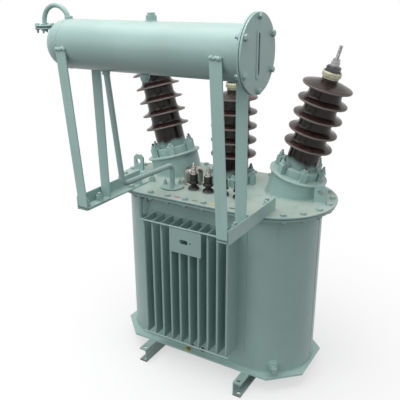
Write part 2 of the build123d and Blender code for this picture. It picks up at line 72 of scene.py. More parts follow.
# Sizes read off the photograph
TURRET_RADIUS = 0.108
TURRET_PLATE_RADIUS = 0.119  # keeps 1 mm clear of the way into the right lifting eye
CLAW_TOP = 0.044
BREATHER_X, BREATHER_JOINT = -0.463, 1.463
OIL_X = -0.194
OIL_FOOT = (-0.170, -0.127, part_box("oil_pipe_gasket")[1].z)
OIL_FLANGE = 0.006
FLANGE_NEAR, FLANGE_FAR = 0.00175, 0.00725  # faces of a breather flange, from the joint's middle
BREATHER_FLANGE = 0.036
STRAP_XS = (-0.315, 0.285)
SEAT_THICK = 0.009
UPSIDE_DOWN = Matrix.Rotation(math.pi, 4, "X")

# Bushing places: name, foot on the cover, lean about Y in degrees, height of the seat along the axis
HV_PLACES = (("left", -0.271, -15.0, 0.089), ("middle", 0.013, 0.0, 0.0), ("right", 0.290, 15.0, 0.089))
HV_ROW_Y = 0.077
LV_PLACES = ((-0.074, -0.110), (-0.004, -0.110), (0.066, -0.110), (0.136, -0.110))


# ---------------------------------------------------------------- surfaces


def grid_faces(rows, columns, round_rows):
    """Quads of a grid closed along its columns: (i, j), (i, j+1), (i+1, j+1), (i+1, j)."""
    i, j = np.meshgrid(np.arange(rows if round_rows else rows - 1), np.arange(columns), indexing="ij")
    ahead, up = (j + 1) % columns, (i + 1) % rows
    quads = np.stack([i * columns + j, i * columns + ahead, up * columns + ahead, up * columns + j], -1)
    return quads.reshape(-1, 4).tolist()


def skin(points, round_rows=False):
    """A closed skin from a (rows, columns, 3) grid: quads round the columns, a flat lid on each open end."""
    rows, columns = points.shape[:2]
    faces = grid_faces(rows, columns, round_rows)
    if not round_rows:
        faces.append(list(range(columns))[::-1])
        faces.append([(rows - 1) * columns + j for j in range(columns)])
    return points.reshape(-1, 3), faces


def turned(profile, columns, closed=False):
    """P(s, a) = (r(s) cos a, r(s) sin a, z(s)) for (r, z) rows; a closed profile stays off the axis."""
    profile = np.asarray(profile, float)
    angle = np.arange(columns) * 2 * math.pi / columns
    r, z = profile[:, 0, None], profile[:, 1, None]
    return skin(np.stack([r * np.cos(angle), r * np.sin(angle), z + 0 * angle], -1), closed)


def rounded(corners, radius, steps=5):
    """A line with eased corners: (1-t)^2 A + 2t(1-t) B + t^2 C between points A, C at radius from corner B."""
    corners = np.asarray(corners, float)
    before, here, after = corners[:-2], corners[1:-1], corners[2:]
    reach = np.broadcast_to(np.asarray(radius, float), (len(here),))[:, None]
    back, ahead = before - here, after - here
    far_back = np.linalg.norm(back, axis=1, keepdims=True)
    far_ahead = np.linalg.norm(ahead, axis=1, keepdims=True)
    a = here + back / far_back * np.minimum(reach, far_back * 0.49)
    c = here + ahead / far_ahead * np.minimum(reach, far_ahead * 0.49)
    t = np.linspace(0, 1, steps)[None, :, None]
    arcs = (1 - t) ** 2 * a[:, None] + 2 * t * (1 - t) * here[:, None] + t ** 2 * c[:, None]
    return np.concatenate([corners[:1], arcs.reshape(-1, corners.shape[1]), corners[-1:]])


def square_to(tangent, toward):
    """Two directions square to each tangent: n, the nearest to toward, and tangent x n."""
    toward = np.asarray(toward, float)
    tangent = tangent / np.linalg.norm(tangent, axis=1, keepdims=True)
    normal = toward - tangent * np.sum(tangent * toward, 1, keepdims=True)
    normal /= np.linalg.norm(normal, axis=1, keepdims=True)
    return normal, np.cross(tangent, normal)


def tube(path, radius, across, sides=24):
    """A pipe: P(s, a) = path(s) + R (cos a n + sin a t x n), with n along across, square to the path."""
    path = np.asarray(path, float)
    step = np.diff(path, axis=0)
    step /= np.linalg.norm(step, axis=1, keepdims=True)
    normal, side = square_to(np.concatenate([step[:1], step[:-1] + step[1:], step[-1:]]), across)
    a = (np.arange(sides) * 2 * math.pi / sides)[None, :, None]
    return skin(path[:, None] + radius * (np.cos(a) * normal[:, None] + np.sin(a) * side[:, None]))


def prism(outline, far, near):
    """A bar of one section along Y: its (x, z) outline, anticlockwise seen from -Y, from y = far to y = near."""
    x, z = np.asarray(outline, float).T
    return skin(np.stack([np.stack([x, np.full_like(x, y), z], -1) for y in (far, near)]))


def disc(radius, low, high, edge=0.0015, columns=72):
    """A turned disc: r(z) = R, eased by the edge at both rims."""
    return turned([(radius - edge, low), (radius, low + edge), (radius, high - edge), (radius - edge, high)], columns)


def hex_bar(flats, low, high, columns=24):
    """A hexagon with a turned top: r = f/2 / cos(a mod 60 - 30), z lowered by (r - 0.47 f) tan 30 at the corners."""
    angle = np.arange(columns) * 2 * math.pi / columns
    side = flats / 2 / np.cos((angle + math.pi / 6) % (math.pi / 3) - math.pi / 6)
    drop = (side - flats * 0.47) * math.tan(math.pi / 6)
    radius = np.stack([side, side, np.full(columns, flats * 0.47)])
    height = np.stack([np.full(columns, low), high - drop, np.full(columns, high)])
    return skin(np.stack([radius * np.cos(angle), radius * np.sin(angle), height], -1))


def threaded(radius, low, high, pitch, columns, rows_per_turn):
    """A screw thread: r = R - d/2 (1 - cos(2 pi z / p - a)), tapered to a chamfer at the tip."""
    depth = pitch * 0.45
    z = np.linspace(low, high, max(4, int((high - low) / pitch * rows_per_turn)))[:, None]
    angle = (np.arange(columns) * 2 * math.pi / columns)[None, :]
    radius = radius - depth / 2 * (1 - np.cos(2 * math.pi * z / pitch - angle))
    radius = np.minimum(radius, radius.max() * 0.72 + (high - z) * 1.2)
    return skin(np.stack([radius * np.cos(angle), radius * np.sin(angle), z + 0 * angle], -1))


def washer(radius, low, high):
    """A flat round washer with eased edges."""
    return disc(radius, low, high, min(0.0008, (high - low) * 0.3), 24)


def bead(path, outward, size, pitch, round_path, seed, sides=8):
    """A weld bead: P(s, a) = path(s) + r(s) (cos a n + sin a b).

    The radius is r(s) = size (1 + 0.13 sin(2 pi s / pitch) + noise).
    """
    tangent = np.roll(path, -1, 0) - np.roll(path, 1, 0) if round_path else np.gradient(path, axis=0)
    outward, side = square_to(tangent, outward)
    steps = np.linalg.norm(np.diff(path, axis=0), axis=1)
    run = np.concatenate([[0], np.cumsum(steps)])
    grain = np.random.default_rng(seed).normal(0, 0.10, len(path))
    grain = np.convolve(np.pad(grain, 2, mode="wrap"), np.full(5, 0.2), mode="same")[2:-2] * 2
    radius = size * (1 + 0.13 * np.sin(2 * math.pi * run / pitch) + grain)
    if not round_path:
        share = run / run[-1]
        radius = radius * (1 - np.abs(2 * share - 1) ** 12 * 0.75)
    angle = np.arange(sides) * 2 * math.pi / sides
    round_it = np.cos(angle)[None, :, None] * outward[:, None] + np.sin(angle)[None, :, None] * side[:, None]
    return skin(path[:, None] + radius[:, None, None] * round_it, round_path)


def line(start, end, step=0.002):
    """Points from start to end, a step apart."""
    start, end = np.asarray(start, float), np.asarray(end, float)
    count = max(6, int(np.linalg.norm(end - start) / step))
    return start + np.linspace(0, 1, count)[:, None] * (end - start)


def moved(part, matrix):
    """A part's points turned and shifted by a 4x4 matrix."""
    points, faces = part
    m = np.asarray(matrix, float)
    return points @ m[:3, :3].T + m[:3, 3], faces


def stacked(parts):
    """Several parts as one list of points and faces."""
    points, faces, start = [], [], 0
    for part_points, part_faces in parts:
        points.append(part_points)
        faces += [[index + start for index in face] for face in part_faces]
        start += len(part_points)
    return np.concatenate(points), faces


def repeated(part, places):
    """One part at each of several 4x4 places."""
    return stacked([moved(part, place) for place in places])


def turn_by(degrees, axis):
    """A turn about an axis through the origin."""
    return Matrix.Rotation(math.radians(degrees), 4, axis)


def at(x, y, z, turn=0.0):
    """A place on a level surface, turned about Z by degrees."""
    return Matrix.Translation((x, y, z)) @ turn_by(turn, "Z")


def piece(name, parts, finishes="paint_fittings", tones=None, flat=False, attributes=None):
    """One mesh object from parts, riding on the root body; tones picks one of the named finishes for each part."""
    old = bpy.data.objects.get(name)
    if old:
        bpy.data.objects.remove(old)
    points, faces = stacked(parts)
    mesh = bpy.data.meshes.new(name)
    mesh.from_pydata(points.tolist(), [], faces)
    mesh.polygons.foreach_set("use_smooth", np.ones(len(faces), bool))
    for finish in finishes.split():
        mesh.materials.append(bpy.data.materials[finish])
    if tones:
        counts = [len(part_faces) for _, part_faces in parts]
        mesh.polygons.foreach_set("material_index", np.repeat(tones, counts).astype(np.int32))
    for key, values in (attributes or {}).items():
        layer = mesh.attributes.new(key, "FLOAT", "POINT")
        layer.data.foreach_set("value", np.asarray(values, np.float32))
    mesh.update()
    if not flat:
        mesh.set_sharp_from_angle(angle=math.radians(34))
    obj = bpy.data.objects.new(name, mesh)
    bpy.context.scene.collection.objects.link(obj)
    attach(obj, "root")
    return obj


# ---------------------------------------------------------------- finishes


class Wire:
    """One output of a material's nodes. Arithmetic on it adds Math nodes."""

    def __init__(self, finish, socket):
        self.finish, self.socket = finish, socket

    def math(self, operation, *others):
        return self.finish.node("Math", {"operation": operation}, dict(enumerate((self,) + others)))

    def __add__(self, other):
        return self.math("ADD", other)

    def __sub__(self, other):
        return self.math("SUBTRACT", other)

    def __mul__(self, other):
        return self.math("MULTIPLY", other)

    __radd__, __rmul__ = __add__, __mul__


class Nodes:
    """The node tree of a material or a world, emptied."""

    def __init__(self, owner):
        owner.use_nodes = True
        self.tree = owner.node_tree
        self.tree.nodes.clear()

    def node(self, kind, settings=None, sockets=None, out=0):
        """A shader node: its settings first, then the values or links of its sockets."""
        made = self.tree.nodes.new("ShaderNode" + kind)
        for key, value in (settings or {}).items():
            setattr(made, key, value)
        for key, value in (sockets or {}).items():
            if isinstance(value, Wire):
                self.tree.links.new(value.socket, made.inputs[key])
            else:
                made.inputs[key].default_value = value
        return made if out is None else Wire(self, made.outputs[out])

    def seen(self):
        """1 for rays from the camera, off mirrors and through glass, 0 for the light that falls on things."""
        light = self.node("LightPath", out=None)
        camera, glossy, through = (Wire(self, light.outputs["Is %s Ray" % kind])
                                   for kind in ("Camera", "Glossy", "Transmission"))
        return camera.math("MAXIMUM", glossy).math("MAXIMUM", through)


class Finish(Nodes):
    """A procedural material: helpers for its masks and one principled surface."""

    def __init__(self, name):
        old = bpy.data.materials.get(name)
        if old:
            bpy.data.materials.remove(old)
        self.material = bpy.data.materials.new(name)
        super().__init__(self.material)
        self.coords = self.node("TexCoord", out="Object")
        split = self.node("SeparateXYZ", {}, {0: self.coords}, out=None)
        self.x, self.y, self.z = (Wire(self, split.outputs[i]) for i in range(3))

    def noise(self, scale, detail, rough=0.55, stretch=None):
        """Noise from 0 to 1 at a scale per metre, stretched along the axes if asked."""
        coords = self.coords
        if stretch:
            coords = self.node("Mapping", {}, {"Vector": coords, "Scale": stretch})
        return self.node("TexNoise", {}, {"Vector": coords, "Scale": scale, "Detail": detail, "Roughness": rough})

    def ease(self, value, low, high):
        """0 below low, 1 above high, smooth between."""
        ends = {"Value": value, "From Min": low, "From Max": high}
        if low > high:
            ends = {"Value": value, "From Min": high, "From Max": low, "To Min": 1.0, "To Max": 0.0}
        return self.node("MapRange", {"interpolation_type": "SMOOTHSTEP"}, ends)

    def mix(self, factor, a, b):
        """Colour a where factor is 0, colour b where it is 1."""
        a, b = (c if isinstance(c, Wire) else (*c[:3], 1) for c in (a, b))
        return self.node("Mix", {"data_type": "RGBA"}, {0: factor, 6: a, 7: b}, out=2)

    def blotch(self, x, y, half_x, half_y, soft=0.0015):
        """A soft-edged rectangle on a level surface, its edge broken by noise."""
        wobble = (self.noise(240, 2) - 0.5) * 0.006
        along = (self.x - x).math("ABSOLUTE") + wobble
        across = (self.y - y).math("ABSOLUTE") + wobble
        return self.ease(along, half_x + soft, half_x - soft) * self.ease(across, half_y + soft, half_y - soft)

    def upward(self):
        """1 on surfaces that face up."""
        normal = self.node("NewGeometry", out="Normal")
        split = self.node("SeparateXYZ", {}, {0: normal}, out=None)
        return Wire(self, split.outputs[2])

    def surface(self, colour, roughness, metallic, height, bump, coat=0.0, coat_roughness=0.1, mirror=0.5):
        """The principled surface and its bump."""
        normal = self.node("Bump", {}, {"Strength": 1.0, "Distance": bump, "Height": height})
        shader = self.node("BsdfPrincipled", {}, {
            "Base Color": colour, "Roughness": roughness, "Metallic": metallic, "Normal": normal,
            "Coat Weight": coat, "Coat Roughness": coat_roughness, "Specular IOR Level": mirror})
        self.node("OutputMaterial", {}, {"Surface": shader}, out=None)


def paint(name, look, dust, wear=None, marks=(), grime=0.0, tone=1.0):
    """Sprayed enamel: slight clouding, orange peel, dust on level faces, painted shade on faces that look down, and
    bare or dirty places where asked.
    """
    f = Finish(name)
    base = tuple(c * tone for c in look.paint)
    cloud = f.noise(3.2, 4)
    fine = f.noise(38, 3)
    colour = f.mix(f.ease(cloud, 0.30, 0.72), [c * 0.93 for c in base], [c * 1.05 for c in base])
    colour = f.mix(f.ease(fine, 0.62, 0.80) * 0.30, colour, [c * 0.86 for c in base])
    runs = f.ease(f.noise(26, 3, 0.6, stretch=(1.0, 1.0, 0.06)), 0.60, 0.78)
    colour = f.mix(runs * 0.16, colour, (0.20, 0.25, 0.215))
    # Painted shade: faces that look down are mixed towards a darker copy of the paint.
    colour = f.mix(f.ease(f.upward(), -0.05, -0.75) * 0.45, colour, [c * 0.45 for c in base])
    level = f.ease(f.upward(), 0.55, 0.97)
    settled = level * (0.35 + f.ease(f.noise(11, 5, 0.65), 0.35, 0.70) * 0.65) * dust
    colour = f.mix(settled, colour, tuple(look.dust))
    roughness = 0.34 + fine * 0.10 + settled * 0.45
    if grime:
        specks = f.ease(f.noise(150, 2, 0.7), 0.66, 0.74) * f.ease(f.noise(7, 2), 0.42, 0.62)
        stains = f.ease(f.noise(17, 6, 0.7), 0.56, 0.74)
        dirt = level * (specks * 0.55 + stains * 0.42) * grime
        colour = f.mix(dirt, colour, tuple(look.dirt))
        roughness = roughness + dirt * 0.2
    if wear:
        bare = f.ease(wear(f) + (f.noise(90, 4, 0.7) - 0.5) * 0.9, 0.42, 0.62)
        rust = f.mix(f.ease(f.noise(60, 3), 0.40, 0.66), tuple(look.bare), tuple(look.rust))
        colour = f.mix(bare, colour, rust)
        roughness = roughness + bare * 0.3
    for x, y, half_x, half_y, mark in marks:
        colour = f.mix(f.blotch(x, y, half_x, half_y) * level * 0.92, colour, mark)
    peel = f.noise(420, 2) * 0.6 + f.noise(65, 3) * 0.8
    f.surface(colour, roughness, 0.0, peel, 0.00022, coat=0.12, coat_roughness=0.22)


def arm_end_wear(f):
    """Chipped paint on the edges of the arms' cut ends."""
    edges = f.ease(f.z, COVER_TOP + 0.0075, COVER_TOP + 0.004) * 0.75
    edges = edges + f.ease(f.z, COVER_TOP + 0.046, COVER_TOP + 0.050)
    return f.ease(f.y, -0.5180, -0.5215) * edges * 0.62


def base_wear(f):
    """Bare olive edges on the base plate's rim."""
    return f.ease(f.upward().math("ABSOLUTE"), 0.5, 0.1) * 0.26


def skid_wear(f):
    """Rubbed and rusty flange ends on the skids."""
    ends = f.ease(f.y.math("ABSOLUTE"), 0.262, 0.297)
    under = f.ease(f.z, 0.004, 0.0) + f.ease(f.z, 0.060, 0.0645) * f.ease(f.y.math("ABSOLUTE"), 0.24, 0.21)
    return ends * f.ease(f.z, 0.030, 0.0) * 0.55 + under * 0.35 + 0.06


def porcelain(name, look, dark, rim, sprayed, gloss):
    """Glazed porcelain: nearly black, redder where the glaze thins on rims, a painted highlight along each rim's
    edge, paint mist and drips on the foot.
    """
    f = Finish(name)
    thin_glaze_and_highlight = f.node("Attribute", {"attribute_name": "rim"}, out="Fac")
    waves = f.noise(22, 2, 0.5)
    colour = f.mix(f.ease(waves, 0.30, 0.75), [c * 0.7 for c in dark], [c * 1.3 for c in dark])
    streaks = f.ease(f.noise(30, 3, 0.6, stretch=(1.0, 1.0, 4.0)), 0.40, 0.75)
    colour = f.mix(f.ease(thin_glaze_and_highlight + streaks * 0.35, 0.12, 1.05), colour, rim)
    # Painted highlight: a pale line along the very edge of each shed's rim.
    colour = f.mix(f.ease(thin_glaze_and_highlight, 0.94, 0.995) * 0.60, colour, [0.24 + c for c in rim])
    roughness = 0.15 + f.noise(30, 3) * 0.14
    if sprayed:
        rise = f.node("Attribute", {"attribute_name": "rise"}, out="Fac")
        scallop = (f.noise(15, 1, 0.4, stretch=(1.0, 1.0, 0.3)) - 0.5) * 0.085 + (f.noise(60, 3, 0.6) - 0.5) * 0.012
        mist = f.ease(rise + scallop, 0.066, 0.038)
        colour = f.mix(mist * 0.94, colour, [c * 0.9 for c in look.paint])
        roughness = roughness + mist * 0.35
    dust = f.ease(f.upward(), 0.55, 1.0) * f.ease(f.noise(34, 4, 0.6), 0.42, 0.72) * 0.12
    colour = f.mix(dust, colour, (0.26, 0.22, 0.19))
    height = f.noise(18, 2) + f.noise(160, 2) * 0.05
    f.surface(colour, roughness + dust * 0.8, 0.0, height, 0.0004, coat=gloss, coat_roughness=0.05, mirror=0.30)


def metal(name, colour, roughness, dull, turned_lines=False, metallic=None):
    """Plated or spun metal with handling marks."""
    f = Finish(name)
    marks = f.noise(55, 4, 0.65)
    tone = f.mix(f.ease(marks, 0.35, 0.75), [c * 0.78 for c in colour], [min(1.0, c * 1.08) for c in colour])
    tone = f.mix(f.ease(f.noise(130, 3), 0.60, 0.76) * dull, tone, (0.16, 0.13, 0.10))
    height = f.noise(300, 2)
    if turned_lines:
        height = (f.z * 2600).math("SINE") * 0.35 + height * 0.3
    metallic = 1.0 - dull * 0.3 if metallic is None else metallic
    f.surface(tone, roughness + marks * 0.16, metallic, height, 0.0001)


def rubber(name, colour):
    """Gasket rubber, dusty and matt."""
    f = Finish(name)
    tone = f.mix(f.noise(45, 4), colour, [c * 2.4 + 0.01 for c in colour])
    f.surface(tone, 0.72 + f.noise(80, 2) * 0.2, 0.0, f.noise(260, 3), 0.0003)


def glass_strip(name):
    """Gauge glass over a dark red-brown slot, redder towards the bottom."""
    f = Finish(name)
    low = f.ease(f.z, 1.42, 1.355)
    tone = f.mix(low, (0.018, 0.012, 0.012), (0.12, 0.018, 0.012))
    tone = f.mix(f.ease(f.noise(40, 3), 0.55, 0.75) * 0.5, tone, (0.10, 0.09, 0.085))
    f.surface(tone, 0.09 + f.noise(30, 2) * 0.1, 0.0, f.noise(12, 1), 0.0003, coat=0.5)


# ---------------------------------------------------------------- settings


def hue(name, description, default):
    """A colour setting."""
    return FloatVectorProperty(name=name, description=description, default=default, size=3, min=0.0, max=1.0,
                               subtype="COLOR")


def length(name, description, default, low=0.001, high=0.2):
    """A length setting."""
    return FloatProperty(name=name, description=description, default=default, min=low, max=high,
                         subtype="DISTANCE", unit="LENGTH")


def watts(name, description, default):
    """A lamp's power setting."""
    return FloatProperty(name=name, description=description, default=default, min=0, unit="POWER")


class TransformerFinish(bpy.types.PropertyGroup):
    """Colours of the paint, dirt, porcelain and metal."""

    paint: hue("Paint", "Grey-green enamel on the tank and fittings", (0.322, 0.478, 0.452))
    dust: hue("Dust", "Pale dust on level faces", (0.50, 0.52, 0.445))
    dirt: hue("Dirt", "Brown dirt on the cover", (0.225, 0.190, 0.135))
    bare: hue("Bare edge", "Olive bare edge where paint has gone", (0.155, 0.150, 0.050))
    rust: hue("Rust", "Dark rust on bare steel", (0.085, 0.040, 0.020))
    brown: hue("Brown glaze", "Glaze of the high-voltage porcelain", (0.0150, 0.0092, 0.0080))
    brown_rim: hue("Thin glaze", "Where the brown glaze thins on a shed's rim", (0.042, 0.019, 0.016))
    black: hue("Black glaze", "Glaze of the low-voltage porcelain", (0.007, 0.0045, 0.0045))
    seal: hue("Seal ring", "Cream sealing ring under a terminal", (0.56, 0.56, 0.40))
    steel: hue("Plated steel", "Nuts, studs and terminals", (0.52, 0.50, 0.47))
    spun: hue("Spun dome", "Spun dome over the tap switch", (0.44, 0.42, 0.385))


class TransformerFasteners(bpy.types.PropertyGroup):
    """Sizes and counts of the bolts and studs."""

    cover_flats: length("Cover bolt flats", "Across flats of a cover bolt's head", 0.022)
    cover_head: length("Cover bolt head", "Height of a cover bolt's head", 0.0075)
    cover_circle: length("Bolt line", "Distance of the cover bolts from the tank's middle line", 0.230)
    cover_pitch: length("Bolt pitch", "Distance between bolts on the straight sides", 0.084)
    cover_row: IntProperty(name="Bolts a side", description="Bolts on each straight side", default=6, min=2, max=20)
    cover_arc: IntProperty(name="Bolts an end", description="Bolts round each half-round end", default=9,
                           min=2, max=20)
    arc_step: FloatProperty(name="Bolt step", description="Angle between bolts on the ends",
                            default=math.radians(19.5), subtype="ANGLE", unit="ROTATION")
    claw_flats: length("Clamp nut flats", "Across flats of a bushing clamp's nut", 0.0165)
    claw_stud: length("Clamp stud", "Diameter of a bushing clamp's stud", 0.010)
    end_flats: length("End cover bolt flats", "Across flats of a bolt on the conservator's end cover", 0.017)
    end_circle: length("End cover bolt circle", "Radius of the end cover's bolt circle", 0.106)


class TransformerWelds(bpy.types.PropertyGroup):
    """Sizes of the weld beads."""

    seam: length("Seam bead", "Radius of the tank and drum seams", 0.0026, 0.0005, 0.02)
    fillet: length("Fillet bead", "Radius of the beads round fittings", 0.0036, 0.0005, 0.02)
    heavy: length("Heavy bead", "Radius of the beads on the strap tops", 0.0062, 0.0005, 0.02)
    ripple: length("Ripple", "Length of one ripple along a bead", 0.006, 0.0005, 0.02)


class TransformerStage(bpy.types.PropertyGroup):
    """Light, floor and camera."""

    sky: FloatProperty(name="Sky", description="Strength of the even light round the object", default=0.64,
                       min=0, max=5)
    bounce: FloatProperty(name="Bounce", description="How pale the floor is to the light that it throws back",
                          default=0.12, min=0, max=1)
    front: watts("Front lamp", "Power of the soft lamp at the front left", 24.0)
    overhead: watts("Overhead lamp", "Power of the wide lamp above", 80.0)
    lens: FloatProperty(name="Lens", description="Focal length of the camera on a 36 mm sensor", default=50.97,
                        min=10, max=200, unit="CAMERA")


class Step:
    """One step of the build."""

    def execute(self, context):
        self.make(context.scene)
        return {"FINISHED"}


# ---------------------------------------------------------------- operators


FINISH_NODES = {
    "paint_tank": ("tank_wall", "fin_panel_front", "fin_panel_rear", "conservator_shell", "conservator_dish",
                   "conservator_flange", "conservator_stub", "tank_hooks", "drain_valve", "filler_cap",
                   "fin_tie_bars"),
    "paint_cover": ("tank_cover",),
    "paint_fittings": ("tank_rim", "lifting_lugs"),
    "paint_plates": ("blank_bracket", "conservator_cover"),
    "paint_arms": ("arm_right",),
    "paint_straps": ("strap_left", "strap_right"),
    "paint_base": ("base_plate",),
    "paint_skids": ("skid_left", "skid_right"),
    "gasket": ("cover_gasket", "conservator_gasket", "oil_pipe_gasket"),
    "gauge_glass": ("gauge_glass",),
    "seal_ring": ("hv_seals",),
    "plated_steel": ("lv_terminals",),
    "brass": ("earth_bolt",),
}


class TRANSFORMER_OT_finishes(Step, bpy.types.Operator):
    """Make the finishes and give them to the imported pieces"""

    bl_idname = "transformer.finishes"
    bl_label = "Finishes"

    def make(self, scene):
        c = scene.transformer_finish
        y = -0.222
        marks = ((-0.084, y, 0.014, 0.0048, (0.42, 0.045, 0.030)), (0.0, y, 0.013, 0.0045, (0.15, 0.15, 0.030)),
                 (0.084, y, 0.014, 0.0050, (0.72, 0.42, 0.020)), (0.168, y, 0.013, 0.0045, (0.10, 0.040, 0.028)))
        paint("paint_tank", c, 0.30)
        paint("paint_cover", c, 0.75, marks=marks, grime=1.0)
        paint("paint_fittings", c, 0.45, grime=0.35)
        paint("paint_plates", c, 0.20)
        paint("paint_arms", c, 0.35, wear=arm_end_wear, grime=0.5)
        # Painted light: the straps and the base plate take a brighter copy of the same paint (tone), where they catch
        # more light.
        paint("paint_straps", c, 0.35, grime=0.3, tone=1.28)
        paint("paint_base", c, 0.35, wear=base_wear, grime=0.6, tone=1.25)
        paint("paint_skids", c, 0.30, wear=skid_wear, grime=0.6)
        paint("paint_beads", c, 0.25)
        porcelain("brown_porcelain", c, tuple(c.brown), tuple(c.brown_rim), True, 0.0)
        porcelain("black_porcelain", c, tuple(c.black), (0.014, 0.009, 0.009), False, 0.35)
        metal("plated_steel", tuple(c.steel), 0.26, 0.25)
        metal("dark_steel", (0.12, 0.12, 0.12), 0.38, 0.6)
        metal("dull_steel", (0.47, 0.47, 0.48), 0.42, 0.4)
        metal("spun_dome", tuple(c.spun), 0.24, 0.10, turned_lines=True)
        metal("brass", (0.52, 0.40, 0.12), 0.34, 0.45)
        metal("seal_ring", tuple(c.seal), 0.42, 0.15, metallic=0.35)
        rubber("gasket", (0.016, 0.017, 0.016))
        rubber("dark_plug", (0.020, 0.012, 0.010))
        glass_strip("gauge_glass")
        for finish, names in FINISH_NODES.items():
            for name in names:
                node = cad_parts[name]
                for slot in node.material_slots:
                    slot.material = bpy.data.materials[finish]


def porcelain_skin(corners, eases, columns, core, tip):
    """A turned insulator and its attributes: rim = (r - core) / (tip - core), rise = height along the axis."""
    profile = rounded(corners, eases, 6)
    part = turned(profile, columns)
    radius = np.hypot(part[0][:, 0], part[0][:, 1])
    return part, np.clip((radius - core) / (tip - core), 0, 1), part[0][:, 2].copy()


def bushing_place(x, lean, seat=0.0):
    """A bushing's own place: its foot on the cover, leaned about Y, raised along its axis."""
    lean = turn_by(lean, "Y")
    return Matrix.Translation((x, HV_ROW_Y, COVER_TOP)) @ lean @ Matrix.Translation((0, 0, seat))


class TRANSFORMER_OT_bushing_seats(Step, bpy.types.Operator):
    """Make the turrets, their plates, the foot rings and the hooked clamps"""

    bl_idname = "transformer.bushing_seats"
    bl_label = "Bushing Seats"

    def make(self, scene):
        angle = np.arange(96) * 2 * math.pi / 96
        x, y = TURRET_RADIUS * np.cos(angle), TURRET_RADIUS * np.sin(angle)
        plate = disc(TURRET_PLATE_RADIUS, 0.0, SEAT_THICK, 0.002, 96)
        for name, foot, lean, seat in HV_PLACES:
            if seat:
                base, top = x * math.tan(math.radians(lean)), np.full_like(x, seat - SEAT_THICK)
                wall = skin(np.stack([np.stack([x, y, base], -1), np.stack([x, y, top], -1)]))
                wall = moved(wall, bushing_place(foot, lean))
                made = piece("turret_wall_" + name, [wall], "paint_tank")
                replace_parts(made, "turret_" + name)
                place = bushing_place(foot, lean, seat - SEAT_THICK)
                made = piece("turret_top_" + name, [moved(plate, place)], "paint_fittings")
                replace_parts(made, "turret_plate_" + name)
        outer = rounded([(0.070, 0.0), (0.082, 0.0), (0.082, 0.032), (0.070, 0.032)], [0.001, 0.006])
        foot_ring = turned([(0.064, 0.0), *outer, (0.064, 0.032)], 72, True)
        claw = prism([(0.0855, 0.0), (0.104, 0.0), (0.104, 0.038), (0.098, CLAW_TOP), (0.073, CLAW_TOP),
                      (0.067, 0.038), (0.067, 0.032), (0.0845, 0.032), (0.0855, 0.031)], 0.0125, -0.0125)
        places = [bushing_place(foot, lean, seat) for _, foot, lean, seat in HV_PLACES]
        made = piece("foot_rings", [repeated(foot_ring, places)], "paint_fittings")
        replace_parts(made, "hv_foot_rings")
        claws = [place @ turn_by(60 * k, "Z") for place in places for k in range(6)]
        made = piece("hooked_clamps", [repeated(claw, claws)], "paint_fittings")
        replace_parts(made, "hv_clamps")


class TRANSFORMER_OT_pipes(Step, bpy.types.Operator):
    """Bend the breather pipe and the oil pipe, with their flanges and collars"""

    bl_idname = "transformer.pipes"
    bl_label = "Pipes"

    def make(self, scene):
        collar = turned(rounded([(0.002, -0.004), (0.014, -0.004), (0.014, 0.009), (0.002, 0.009)], 0.0015), 40)

        drum_x, joint = BREATHER_X + 0.117, BREATHER_JOINT
        t = np.linspace(0, math.pi, 41)
        bend = np.stack([drum_x - 0.0585 * (1 - np.cos(t)), np.full_like(t, DRUM_Y), 1.479 + 0.0578 * np.sin(t)], -1)
        path = [(drum_x, DRUM_Y, DRUM_TOP - 0.004), *bend, (BREATHER_X, DRUM_Y, joint + 0.0035)]
        flange = at(BREATHER_X, DRUM_Y, joint)
        parts = [tube(path, 0.0085, (0, 1, 0)), moved(collar, at(drum_x, DRUM_Y, DRUM_TOP)),
                 moved(disc(BREATHER_FLANGE, FLANGE_NEAR, FLANGE_FAR), flange)]
        made = piece("breather_bend", parts, "paint_tank")
        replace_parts(made, "breather_pipe")
        seal = moved(disc(0.031, -FLANGE_NEAR, FLANGE_NEAR, 0.0005), flange)
        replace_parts(piece("breather_seal", [seal], "gasket"), "breather_gasket")
        lower = disc(BREATHER_FLANGE, -FLANGE_FAR, -FLANGE_NEAR)
        spigot = turned(rounded([(0.002, -0.0155), (0.0085, -0.0155), (0.0085, -0.006), (0.002, -0.006)], 0.001), 32)
        parts = [moved(part, flange) for part in (lower, spigot)]
        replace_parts(piece("breather_foot", parts, "paint_tank"), "breather_flange")

        foot_x, foot_y, foot_z = OIL_FOOT
        path = rounded([(OIL_X, DRUM_Y, DRUM_Z - DRUM_RADIUS + 0.004), (OIL_X, -0.427, 0.896),
                        (foot_x, foot_y, 0.898), (foot_x, foot_y, foot_z + 0.003)], 0.026, 12)
        under = at(OIL_X, DRUM_Y, DRUM_Z - DRUM_RADIUS) @ UPSIDE_DOWN
        parts = [tube(path, 0.01065, (1, 0, 0)), moved(collar, under @ Matrix.Scale(1.4, 4, (0, 0, 1))),
                 moved(disc(0.050, 0.0, OIL_FLANGE), at(*OIL_FOOT))]
        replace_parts(piece("oil_line", parts, "paint_tank"), "oil_pipe")


class TRANSFORMER_OT_left_arm(Step, bpy.types.Operator):
    """Make the left angle arm, with the gap between it and the oil pipe's foot"""

    bl_idname = "transformer.left_arm"
    bl_label = "Left Arm"

    def make(self, scene):
        z = COVER_TOP
        bar = prism([(-0.344, z), (-0.294, z), (-0.294, z + 0.005), (-0.336, z + 0.005), (-0.339, z + 0.008),
                     (-0.339, z + 0.050), (-0.344, z + 0.050)], -0.125, -0.522)
        made = piece("angle_arm_left", [bar], "paint_arms")
        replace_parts(made, "arm_left")


